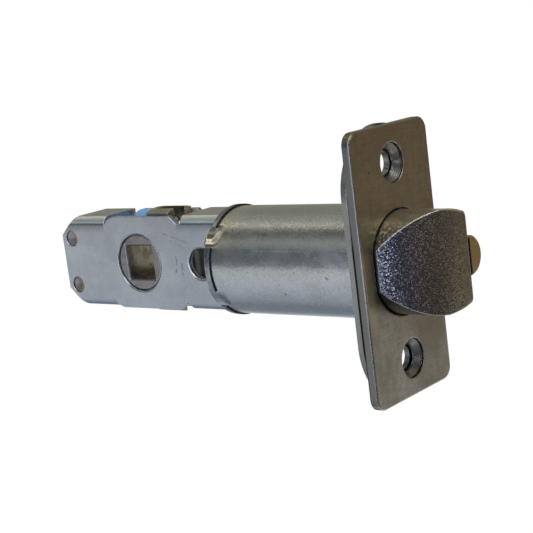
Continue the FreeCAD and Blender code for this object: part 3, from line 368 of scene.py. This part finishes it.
def make_face_finish():
    """Satin stainless, browner towards the top, with turned rings in the countersinks; painted shade
    in their mouths and in the gap to the back plate, a painted reflection beside the bolt and a
    painted highlight on the front edges.
    """
    g = Graph("face_finish")
    x, y, z = g.axes()
    patches = g.band(g.noise(75.0, 4.0, 0.6), 0.35, 0.68, 0.0, 0.9)
    mottle = g.band(g.noise(700.0, 3.0, 0.6, (1, 1, 0.6)), 0.46, 0.6, 0.0, 0.3)
    tone = g.mix(g.band(z, -0.024, 0.026), srgb(171, 168, 163), srgb(150, 141, 125))
    colour = g.mix(patches, tone, srgb(136, 129, 117))
    colour = g.mix(mottle, colour, srgb(122, 114, 100))
    brushed = g.noise(2600.0, 3.0, 0.6, (1, 0.06, 1))
    colour = g.mix(g.band(brushed, 0.35, 0.75, 0.0, 0.36), colour, srgb(112, 105, 94))
    pits = g.band(g.noise(420.0, 2.0, 0.5), 0.745, 0.775)
    colour = g.mix(pits, colour, srgb(84, 78, 68))
    # Painted reflection: a lighter patch on the front face beside the bolt.
    painted_reflection = g.times(g.band(g.off(z, -0.002), 0.012, 0.003), g.band(y, -0.0098, -0.0122), 0.75)
    colour = g.mix(painted_reflection, colour, srgb(196, 188, 160))

    radius = g.hypot(y, g.minus(g.size(z), SCREW_Z))
    cone = g.times(g.band(radius, SINK_R, SINK_R * 0.97), g.band(x, -0.0003, -0.0005))
    rings = g.times(cone, g.math("SINE", g.times(radius, 2 * math.pi / RING_STEP)))
    colour = g.mix(g.times(cone, 0.6), colour, srgb(152, 158, 166))
    # Painted shade on the wall at each countersink's mouth.
    mouth_shade = g.times(g.band(radius, SINK_R * 1.03, SINK_R * 1.01),
                    g.times(g.band(radius, SINK_R * 0.95, SINK_R * 0.98),
                            g.band(x, -0.00006, -0.00016)))
    colour = g.mix(mouth_shade, colour, srgb(52, 50, 50))

    upright = g.band(g.size(g.axes("Normal")[0]), 0.5, 0.2)
    outwards = g.larger(g.size(y), g.times(g.size(z), 0.5))
    rim = g.times(upright, g.band(outwards, 0.0138, 0.0140))
    # Painted shade at the rear of the side edges, in the gap to the back plate.
    gap_shade = g.times(g.band(x, -0.0016, -0.00185), g.band(z, 0.012, 0.004))
    colour = g.mix(rim, colour, g.mix(gap_shade, srgb(107, 105, 103), srgb(30, 28, 28)))
    # Painted highlight along the front edges.
    front_edge_highlight = g.times(g.edge_mask(0.0003), g.band(x, -0.0012, -0.0008))
    g.set("Base Color", g.mix(front_edge_highlight, colour, srgb(206, 204, 200)))
    g.set("Metallic", 1.0)
    g.set("Roughness", g.band(g.noise(240.0, 3.0), 0.3, 0.7, 0.24, 0.34))
    turned = g.bump(rings, 0.00001, g.soft_edge(0.0005))
    g.set("Normal", g.bump(brushed, 0.000004, turned))
    return g.material


def make_back_finish():
    """Plain zinc, with painted shade in the gap where it meets the front plate."""
    g = metal("back_finish", srgb(138, 138, 134), srgb(112, 112, 107), 0.34, blotch=80.0,
              edge=srgb(170, 170, 166))
    x, _, z = g.axes()
    # Painted shade along the front of the sides, in the gap to the front plate.
    gap_shade = g.times(g.band(x, -0.00262, -0.00245), g.band(z, 0.012, 0.004))
    g.set("Base Color", g.mix(gap_shade, g.now("Base Color"), srgb(28, 27, 27)))
    return g.material


def make_hub_finish():
    """Die-cast hub: warm grey and matt, with rims lightened as wear and as painted highlight, and a
    worn square hole with painted shade on its left and lower sides and a dark spot.
    """
    g = metal("hub_finish", srgb(138, 136, 137), srgb(124, 121, 122), 0.34, blotch=160.0,
              edge=srgb(214, 218, 224), edge_radius=0.0003)
    _, y, z = g.axes()
    inside = g.band(g.size(g.axes("Normal")[1]), 0.5, 0.2)
    worn_and_shaded = g.mix(g.band(g.noise(380.0, 3.0), 0.42, 0.62), srgb(182, 180, 174), srgb(150, 145, 135))
    # Painted shade on the square hole's left and lower sides.
    shaded = g.larger(g.band(y, -0.0024, -0.0042), g.band(z, -0.0014, -0.0034))
    worn_and_shaded = g.mix(g.times(shaded, 0.6), worn_and_shaded, srgb(98, 92, 82))
    spot = g.scratch((0.0018, -0.0020), (0.0020, -0.0023), 0.0003, first=1)
    worn_and_shaded = g.mix(g.times(spot, 0.8), worn_and_shaded, srgb(40, 36, 32))
    g.set("Base Color", g.mix(inside, g.now("Base Color"), worn_and_shaded))
    return g.material


def make_plunger_finish():
    """Tan brass, with painted shade at its edge beside the gap to the bolt."""
    g = metal("plunger_finish", srgb(174, 154, 112), srgb(154, 134, 94), 0.34, blotch=110.0,
              edge=srgb(190, 174, 138))
    x, y, z = g.axes()
    # Painted shade where the plunger meets the gap beside the bolt.
    gap = g.times(g.band(y, 0.00655, 0.0062), g.band(z, 0.0042, 0.0034), g.band(x, 0.0116, 0.0120))
    g.set("Base Color", g.mix(gap, g.now("Base Color"), srgb(40, 40, 52)))
    return g.material


def make_bolt_finish():
    """Coarse sparkling grain on the bevel, smoother tan-brown round the sides, with a painted
    highlight on their top, painted glints, and a painted highlight along the edges.
    """
    g = Graph("bolt_finish")
    x, _, z = g.axes()
    lean_x, lean_y, _ = g.axes("Normal")
    bevel = g.times(g.band(lean_x, 0.04, 0.16), g.band(lean_y, -0.02, -0.1))
    along = g.band(x, 0.003, 0.012)
    grains = g.noise(1900.0, 4.0, 0.7)
    coarse = g.noise(650.0, 3.0, 0.6)
    dark = g.mix(g.band(grains, 0.38, 0.62), srgb(107, 107, 113), srgb(132, 132, 137))
    dark = g.mix(along, dark, srgb(134, 128, 118))
    side = g.mix(g.band(g.noise(140.0, 4.0), 0.3, 0.7), srgb(112, 110, 105), srgb(92, 90, 86))
    side = g.mix(g.band(grains, 0.5, 0.7, 0.0, 0.5), side, srgb(92, 89, 83))
    # Painted highlight: the sides lighter towards their top.
    side = g.mix(g.band(z, 0.0078, 0.0108), side, srgb(214, 208, 192))
    # Painted glints: bright specks on the sides.
    glints = g.times(g.band(grains, 0.5, 0.64), g.band(z, 0.0035, 0.0075), 0.65)
    side = g.mix(glints, side, srgb(244, 230, 190))
    colour = g.mix(bevel, side, dark)
    # Painted highlight along the edges.
    g.set("Base Color", g.mix(g.edge_mask(0.00045), colour, srgb(228, 228, 228)))
    g.set("Metallic", 1.0)
    g.set("Roughness", g.band(bevel, 0.0, 1.0, 0.32, 0.12))
    relief = g.plus(grains, g.times(coarse, 0.8))
    height = g.times(g.band(bevel, 0.0, 1.0, 0.35, 1.0), relief)
    uneven = g.bump(height, 0.00005, g.soft_edge(0.00045))
    tilt = g.times(bevel, g.band(along, 0.0, 1.0, 0.43, 0.15))
    g.set("Normal", g.facets(4600.0, g.plus(tilt, 0.05), uneven))
    return g.material


case_finish = make_case_finish()
inner_finish = metal("inner_finish", srgb(176, 176, 172), srgb(140, 140, 136), 0.4, blotch=110.0,
                     edge=srgb(196, 196, 192)).material
wire_finish = metal("wire_finish", srgb(120, 120, 122), srgb(84, 84, 88), 0.3, blotch=300.0,
                    grain_scale=3000.0).material
FINISHES = {
    "face_plate": make_face_finish(),
    "back_plate": make_back_finish(),
    "barrel": make_barrel_finish(),
    "end_ring": make_ring_finish(),
    "case_channel": case_finish,
    "case_cover": case_finish,
    "latch_bolt": make_bolt_finish(),
    "hub": make_hub_finish(),
    "plunger": make_plunger_finish(),
    "retractor": metal("retractor_finish", srgb(192, 188, 174), srgb(150, 145, 130), 0.34,
                       blotch=160.0, grain=(1, 0.1, 1), grain_scale=1400.0, grain_depth=0.00002,
                       edge=srgb(216, 210, 196)).material,
    "case_rivets": metal("rivet_finish", srgb(162, 158, 156), srgb(130, 123, 119), 0.5,
                         blotch=300.0, edge_radius=0.0006, rough_swing=0.04).material,
}
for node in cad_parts:
    put(node, FINISHES.get(node, inner_finish))

# Springs: wire steps a turn, the closed turns at each end, and the free gap to a seat in mm
WIRE_STEPS = 32
END_TURNS = 0.9
SEAT_GAP = 0.05


def make_spring(name, node, rear, front, centre_y, coil_r, wire_r, turns):
    """Round wire with closed end turns, in the place of the CAD node's straight runs.

    The seats' places along the axis are in mm, the other lengths in metres.
    """
    first, last = (rear + SEAT_GAP) * MM + wire_r, (front - SEAT_GAP) * MM - wire_r
    steps = int(turns * WIRE_STEPS)
    points = []
    for step in range(steps + 1):
        turn = step / steps * turns
        if turn < END_TURNS:
            along = 2 * wire_r * turn
        elif turn > turns - END_TURNS:
            along = (last - first) - 2 * wire_r * (turns - turn)
        else:
            share = (turn - END_TURNS) / (turns - 2 * END_TURNS)
            along = 2 * wire_r * END_TURNS + share * ((last - first) - 4 * wire_r * END_TURNS)
        angle = 2 * math.pi * turn
        points.append((first + along, centre_y + coil_r * math.cos(angle), coil_r * math.sin(angle)))
    line = bpy.data.curves.new(name, "CURVE")
    line.dimensions = "3D"
    line.bevel_depth = wire_r
    line.bevel_resolution = 3
    line.use_fill_caps = True
    spline = line.splines.new("POLY")
    spline.points.add(len(points) - 1)
    for point, place in zip(spline.points, points):
        point.co = (*place, 1.0)
    holder = bpy.data.objects.new(name + "_line", line)
    bpy.context.scene.collection.objects.link(holder)
    bpy.context.view_layer.update()
    mesh = bpy.data.meshes.new_from_object(holder.evaluated_get(bpy.context.evaluated_depsgraph_get()))
    bpy.data.objects.remove(holder)
    mesh.name = name
    mesh.materials.clear()
    mesh.materials.append(wire_finish)
    for face in mesh.polygons:
        face.use_smooth = True
    spring = bpy.data.objects.new(name, mesh)
    bpy.context.scene.collection.objects.link(spring)
    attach(spring, "housing")
    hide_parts(node)
    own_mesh(spring)


make_spring("bolt_spring_wire", "bolt_spring", -31.5, -8.5, 0.0,
            4.75 * MM, 0.45 * MM, 7.0)
make_spring("plunger_spring_wire", "plunger_spring", -31.5, -14.0, 8.75 * MM,
            1.35 * MM, 0.25 * MM, 8.0)

FLOOR_Z = -0.10
FLOOR_HALF = 6.0


def make_quad(name, corners, material):
    """A flat piece of the studio."""
    mesh = bpy.data.meshes.new(name)
    mesh.from_pydata(corners, [], [(0, 1, 2, 3)])
    mesh.materials.append(material)
    made = bpy.data.objects.new(name, mesh)
    bpy.context.scene.collection.objects.link(made)
    return made


def seen_rays(tree):
    """1 for rays from the camera and for those that the metal mirrors."""
    path = tree.nodes.new("ShaderNodeLightPath")
    source = path.outputs["Is Camera Ray"]
    for name in ("Is Glossy Ray", "Is Transmission Ray"):
        larger = tree.nodes.new("ShaderNodeMath")
        larger.operation = "MAXIMUM"
        tree.links.new(source, larger.inputs[0])
        tree.links.new(path.outputs[name], larger.inputs[1])
        source = larger.outputs[0]
    return source


def make_glow(graph, colour, strength=1.0):
    """An emission node in a material's graph."""
    glow = graph.node("ShaderNodeEmission")
    glow.inputs["Color"].default_value = (*colour, 1.0)
    glow.inputs["Strength"].default_value = strength
    return glow.outputs[0]


def make_floor():
    """Pale and matt for the light, white for the camera and the metal, with a soft shadow."""
    g = Graph("floor_finish")
    g.set("Base Color", (0.86, 0.86, 0.86, 1.0))
    g.set("Roughness", 0.9)
    blend = g.node("ShaderNodeMixShader")
    g.feed(blend.inputs[0], g.times(seen_rays(g.tree), 0.88))
    g.link(g.shader.outputs[0], blend.inputs[1])
    g.link(make_glow(g, (1, 1, 1), 1.03), blend.inputs[2])
    g.link(blend.outputs[0], g.output.inputs["Surface"])
    r = FLOOR_HALF
    make_quad("floor", [(-r, -r, FLOOR_Z), (r, -r, FLOOR_Z), (r, r, FLOOR_Z), (-r, r, FLOOR_Z)],
              g.material)


def make_world():
    """Soft even light, and plain white where the camera or the metal sees it."""
    world = bpy.data.worlds.new("studio")
    bpy.context.scene.world = world
    world.use_nodes = True
    tree = world.node_tree
    tree.nodes.clear()
    out = tree.nodes.new("ShaderNodeOutputWorld")
    blend = tree.nodes.new("ShaderNodeMixShader")
    tree.links.new(seen_rays(tree), blend.inputs[0])
    for socket, colour, strength in ((1, (0.92, 0.96, 1.0, 1), 0.95), (2, (1, 1, 1, 1), 1.0)):
        light = tree.nodes.new("ShaderNodeBackground")
        light.inputs["Color"].default_value = colour
        light.inputs["Strength"].default_value = strength
        tree.links.new(light.outputs[0], blend.inputs[socket])
    tree.links.new(blend.outputs[0], out.inputs["Surface"])


def make_card(name, corners, colour):
    """A card that only the metal mirrors."""
    g = Graph(name + "_finish")
    g.link(make_glow(g, colour), g.output.inputs["Surface"])
    card = make_quad(name, corners, g.material)
    card.visible_camera = False
    card.visible_shadow = False
    card.visible_diffuse = False


CARD_R = 0.9
CARD_X = (-2.4, 0.2)
# Cards around the barrel's axis: where each starts, in degrees above straight ahead, and its colour
AROUND = [
    ("strip_low", -6, (0.175, 0.18, 0.175)),
    ("strip_blue", 17, (0.115, 0.135, 0.145)),
    ("strip_pale", 38, (0.47, 0.475, 0.43)),
    ("strip_dark", 56, (0.12, 0.13, 0.12)),
    ("strip_glow", 80, (0.46, 0.43, 0.35)),
    ("strip_lamp", 85, (3.1, 2.9, 2.4)),
    ("strip_fade", 88, (0.46, 0.43, 0.35)),
    ("strip_warm", 94, (0.45, 0.45, 0.385)),
    ("strip_olive", 118, (0.34, 0.34, 0.28)),
    ("strip_top", 156, (0.36, 0.34, 0.27)),
]
AROUND_END = 186
# Level cards: two places along x, two along y, height and colour
UNDER_Z = FLOOR_Z + 0.004
BENCH_Z = FLOOR_Z + 0.006
BENCHES = [
    ("under_card_0", (-0.35, -0.03), (0.072, 0.115), UNDER_Z, (0.58, 0.61, 0.66)),
    ("under_card_1", (-0.35, -0.03), (-0.012, 0.072), UNDER_Z, (0.30, 0.34, 0.40)),
    ("under_card_2", (-0.25, -0.03), (-0.055, -0.012), UNDER_Z, (0.52, 0.58, 0.66)),
    ("under_card_3", (-0.25, -0.03), (-0.105, -0.055), UNDER_Z, (0.69, 0.74, 0.80)),
    ("under_card_4", (-0.30, -0.05), (-0.20, -0.105), UNDER_Z, (0.77, 0.82, 0.87)),
    ("under_card_5", (-0.39, -0.20), (-0.60, -0.20), UNDER_Z, (0.72, 0.78, 0.82)),
    ("plate_bench", (0.02, 0.30), (0.0, 0.34), BENCH_Z, (0.54, 0.54, 0.51)),
    ("bolt_bench", (0.02, 0.40), (-0.30, 0.0), BENCH_Z, (0.15, 0.14, 0.16)),
    ("high_card", (0.02, 0.25), (-0.30, 0.06), 0.35, (2.4, 2.4, 2.2)),
]
# Upright cards around the bolt: radius, two bearings from +X in degrees, two heights and colour
WALLS = [
    ("plate_wall", 0.34, (15, 85), (-0.07, 0.45), (0.30, 0.25, 0.18)),
    ("plate_foot", 0.34, (15, 85), (BENCH_Z, -0.07), (0.43, 0.41, 0.37)),
    ("tip_wall", 0.34, (-35, 15), (BENCH_Z, 0.32), (0.13, 0.11, 0.09)),
    ("bevel_wall", 0.34, (-100, -35), (BENCH_Z, 0.20), (0.08, 0.08, 0.14)),
    ("window", 0.30, (-88, -58), (-0.015, 0.03), (4.4, 6.2, 8.8)),
    ("window_far", 0.30, (-58, 0), (0.015, 0.03), (1.7, 1.6, 1.5)),
]
# Card before the case, upright across y: its place, two places along x, two heights and colour
RIM_CARD_Y = -0.21
RIM_CARD_X = (-0.085, 0.03)
RIM_CARD_Z = (-0.06, 0.30)
RIM_CARD_COLOUR = (2.3, 2.6, 3.0)


def make_strips():
    ends = [low for _, low, _ in AROUND[1:]] + [AROUND_END]
    for (name, low, colour), high in zip(AROUND, ends):
        corners = []
        for x, angle in ((CARD_X[0], low), (CARD_X[1], low), (CARD_X[1], high), (CARD_X[0], high)):
            turn = math.radians(angle)
            corners.append((x, -CARD_R * math.cos(turn), CARD_R * math.sin(turn)))
        make_card(name, corners, colour)


def make_upright(name, a, b, heights, colour):
    """An upright card between two places (x, y)."""
    make_card(name, [(*a, heights[0]), (*b, heights[0]), (*b, heights[1]), (*a, heights[1])], colour)


def make_cards():
    make_strips()
    for name, x, y, z, colour in BENCHES:
        make_card(name, [(x[0], y[0], z), (x[1], y[0], z), (x[1], y[1], z), (x[0], y[1], z)], colour)
    for name, radius, bearings, heights, colour in WALLS:
        turns = [math.radians(bearing) for bearing in bearings]
        a, b = ((radius * math.cos(turn), radius * math.sin(turn)) for turn in turns)
        make_upright(name, a, b, heights, colour)
    a, b = ((x, RIM_CARD_Y) for x in RIM_CARD_X)
    make_upright("rim_card", a, b, RIM_CARD_Z, RIM_CARD_COLOUR)


def make_lamp():
    """One soft lamp over the latch, from the camera's left. The metal doesn't mirror it."""
    way = Vector((-0.5, -0.5, 0.9)).normalized()
    data = bpy.data.lights.new("key_lamp", "AREA")
    data.shape = "SQUARE"
    data.size = 0.5
    data.energy = 5.0
    data.color = (1.0, 0.99, 0.96)
    lamp = bpy.data.objects.new("key_lamp", data)
    bpy.context.scene.collection.objects.link(lamp)
    lamp.location = Vector((-0.04, 0, 0)) + way * 1.2
    lamp.rotation_mode = "QUATERNION"
    lamp.rotation_quaternion = (-way).to_track_quat("-Z", "Y")
    lamp.visible_glossy = False


# The camera that was fitted to the photograph: its place, its angles and its focal length
AZIMUTH, ELEVATION, ROLL = math.radians(39.52), math.radians(10.28), math.radians(-7.23)
CAMERA_AT = Vector((157.642, -235.165, 53.635)) * MM
FOCAL_PX = 1388.02
IMAGE_PX = 533
SENSOR_MM = 36.0


def make_camera():
    back = Vector((math.sin(AZIMUTH) * math.cos(ELEVATION),
                   -math.cos(AZIMUTH) * math.cos(ELEVATION), math.sin(ELEVATION)))
    right = Vector((math.cos(AZIMUTH), math.sin(AZIMUTH), 0))
    up = back.cross(right)
    rolled_right = right * math.cos(ROLL) + up * math.sin(ROLL)
    rolled_up = up * math.cos(ROLL) - right * math.sin(ROLL)
    data = bpy.data.cameras.new("camera")
    data.sensor_width = SENSOR_MM
    data.lens = SENSOR_MM * FOCAL_PX / IMAGE_PX
    data.clip_start, data.clip_end = 0.01, 50.0
    camera = bpy.data.objects.new("camera", data)
    bpy.context.scene.collection.objects.link(camera)
    turn = Matrix((rolled_right, rolled_up, back)).transposed().to_4x4()
    camera.matrix_world = Matrix.Translation(CAMERA_AT) @ turn
    bpy.context.scene.camera = camera


make_world()
make_floor()
make_cards()
make_lamp()
make_camera()
bpy.context.scene.view_settings.view_transform = "Standard"
